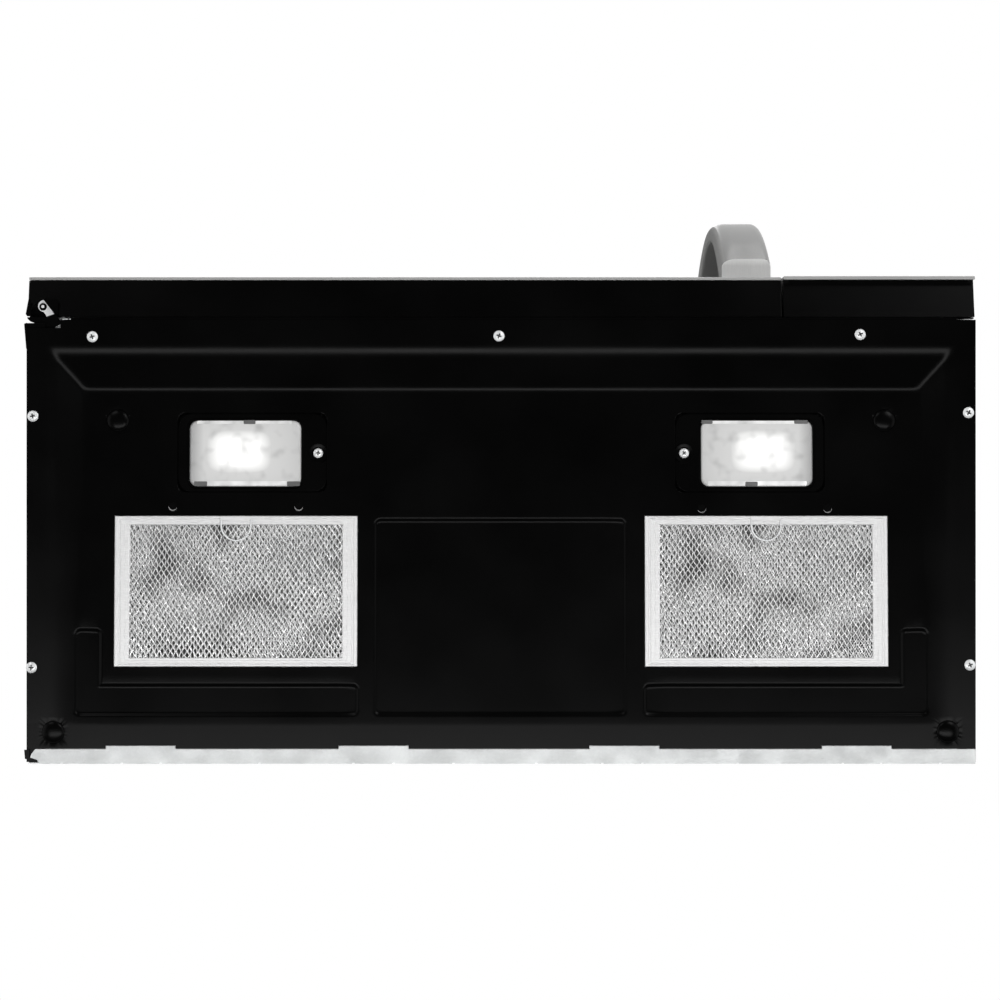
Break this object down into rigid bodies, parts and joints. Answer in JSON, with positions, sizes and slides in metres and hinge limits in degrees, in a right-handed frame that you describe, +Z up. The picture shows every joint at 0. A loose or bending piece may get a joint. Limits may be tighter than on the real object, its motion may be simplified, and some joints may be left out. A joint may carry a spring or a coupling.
{
  "type": "over the range microwave",
  "caption": "Over-the-range microwave oven with an arched handle door, control panel, grease filters, cooktop lamps and top exhaust.",
  "frame": {"origin": "centre of the rear face that stands against the wall", "axes": "+Z up, +Y into the wall, front towards -Y, +X to the right seen from the front"},
  "size_m": [0.7591, 0.45, 0.443],
  "materials": {
    "black_enamel": "satin black powder coat",
    "zinc_plate": "bright zinc plate",
    "stainless": "brushed stainless",
    "filter_aluminium": "mill finish",
    "frosted_lens": "frosted white, lit from behind",
    "dark_glass": "smoked gloss",
    "clear_glass": "clear",
    "cavity_paint": "grey speckled enamel",
    "natural_plastic": "unpainted moulding",
    "black_plastic": "fine grain",
    "copper_winding": "varnished winding on steel",
    "circuit_board": "solder mask",
    "charcoal": "granules in a fibre pad"
  },
  "bodies": {
    "root": {"base_panel": "black_enamel", "cabinet_cover": "black_enamel", "rear_panel": "zinc_plate", "lamp_holder_left": "zinc_plate", "lamp_holder_right": "zinc_plate", "hinge_lower": "zinc_plate", "hinge_upper": "zinc_plate", "waveguide": "zinc_plate", "magnetron": "zinc_plate", "fan_motor": "zinc_plate", "blower_housing": "zinc_plate", "blower_motor": "zinc_plate", "exhaust_collar": "zinc_plate", "turntable_motor": "zinc_plate", "oven_cavity": "cavity_paint", "waveguide_cover": "natural_plastic", "keypad": "black_plastic", "control_panel": "black_plastic", "latch_housing": "black_plastic", "cord_bushing": "black_plastic", "vent_grille": "stainless", "display_window": "dark_glass", "transformer": "copper_winding", "control_board": "circuit_board", "charcoal_filter": "charcoal", "base_screw_1": "zinc_plate", "base_screw_2": "zinc_plate", "base_screw_3": "zinc_plate", "base_screw_4": "zinc_plate", "base_screw_5": "zinc_plate", "base_screw_6": "zinc_plate", "base_screw_7": "zinc_plate"},
    "door": {"door_frame": "black_enamel", "choke_cover": "black_plastic", "door_screen": "black_enamel", "door_skin": "stainless", "door_glass": "dark_glass", "handle": "stainless"},
    "latch": {"latch_hook": "natural_plastic"},
    "tray": {"glass_tray": "clear_glass", "tray_coupler": "natural_plastic"},
    "ring": {"roller_ring": "natural_plastic"},
    "roller_a": {"roller_1": "natural_plastic"},
    "roller_b": {"roller_2": "natural_plastic"},
    "roller_c": {"roller_3": "natural_plastic"},
    "blower": {"blower_rotor": "natural_plastic"},
    "fan": {"cooling_fan": "black_plastic"},
    "damper": {"damper_flap": "filter_aluminium"},
    "filter_left": {"filter_frame_left": "filter_aluminium", "filter_mesh_left": "filter_aluminium"},
    "pull_left": {"filter_pull_left": "zinc_plate"},
    "filter_right": {"filter_frame_right": "filter_aluminium", "filter_mesh_right": "filter_aluminium"},
    "pull_right": {"filter_pull_right": "zinc_plate"},
    "lamp_left": {"lamp_cover_left": "black_enamel", "lamp_lens_left": "frosted_lens", "lamp_screw_left": "zinc_plate"},
    "lamp_right": {"lamp_cover_right": "black_enamel", "lamp_lens_right": "frosted_lens", "lamp_screw_right": "zinc_plate"}
  },
  "joints": [
    {"name": "door_hinge", "type": "hinge", "parent": "root", "child": "door", "pos_m": [-0.366, -0.3664, -0.024], "axis": [0, 0, -1], "range_deg": [0, 90]},
    {"name": "latch_lift", "type": "slide", "parent": "door", "child": "latch", "axis": [0, 0, 1], "range_m": [0, 0.005], "stiffness_N_per_m": 400, "springref_m": -0.005},
    {"name": "tray_spin", "type": "hinge", "parent": "root", "child": "tray", "pos_m": [-0.0675, -0.1905, -0.129], "axis": [0, 0, 1], "continuous": true},
    {"name": "ring_spin", "type": "hinge", "parent": "root", "child": "ring", "pos_m": [-0.0675, -0.1905, -0.1387], "axis": [0, 0, 1], "continuous": true},
    {"name": "roller_a_spin", "type": "hinge", "parent": "ring", "child": "roller_a", "pos_m": [0.0275, -0.1905, -0.1387], "axis": [1, 0, 0], "continuous": true},
    {"name": "roller_b_spin", "type": "hinge", "parent": "ring", "child": "roller_b", "pos_m": [-0.115, -0.10823, -0.1387], "axis": [-0.5, 0.866, 0], "continuous": true},
    {"name": "roller_c_spin", "type": "hinge", "parent": "ring", "child": "roller_c", "pos_m": [-0.115, -0.27277, -0.1387], "axis": [-0.5, -0.866, 0], "continuous": true},
    {"name": "blower_spin", "type": "hinge", "parent": "root", "child": "blower", "pos_m": [0, -0.074, 0.143], "axis": [1, 0, 0], "continuous": true},
    {"name": "fan_spin", "type": "hinge", "parent": "root", "child": "fan", "pos_m": [0.3, -0.033, 0.081], "axis": [0, 1, 0], "continuous": true},
    {"name": "damper_hinge", "type": "hinge", "parent": "root", "child": "damper", "pos_m": [0, -0.03455, 0.2182], "axis": [-1, 0, 0], "range_deg": [0, 75]},
    {"name": "filter_left_hinge", "type": "hinge", "parent": "root", "child": "filter_left", "pos_m": [-0.2125, -0.07774, -0.20661], "axis": [1, 0, 0], "range_deg": [0, 75]},
    {"name": "pull_left_hinge", "type": "hinge", "parent": "filter_left", "child": "pull_left", "pos_m": [-0.2125, -0.19524, -0.20167], "axis": [-1, 0, 0], "range_deg": [0, 100]},
    {"name": "lamp_left_hinge", "type": "hinge", "parent": "root", "child": "lamp_left", "pos_m": [-0.2595, -0.24899, -0.19546], "axis": [0, 0.9986, -0.0522], "range_deg": [0, 80]},
    {"name": "filter_right_hinge", "type": "hinge", "parent": "root", "child": "filter_right", "pos_m": [0.2125, -0.07774, -0.20661], "axis": [1, 0, 0], "range_deg": [0, 75]},
    {"name": "pull_right_hinge", "type": "hinge", "parent": "filter_right", "child": "pull_right", "pos_m": [0.2125, -0.19524, -0.20167], "axis": [-1, 0, 0], "range_deg": [0, 100]},
    {"name": "lamp_right_hinge", "type": "hinge", "parent": "root", "child": "lamp_right", "pos_m": [0.2595, -0.24899, -0.19546], "axis": [0, -0.9986, 0.0522], "range_deg": [0, 80]}
  ],
  "couplings": [
    {"joint": "ring_spin", "follows": "tray_spin", "ratio": 0.5},
    {"joint": "roller_a_spin", "follows": "tray_spin", "ratio": -5.9375},
    {"joint": "roller_b_spin", "follows": "tray_spin", "ratio": -5.9375},
    {"joint": "roller_c_spin", "follows": "tray_spin", "ratio": -5.9375}
  ]
}
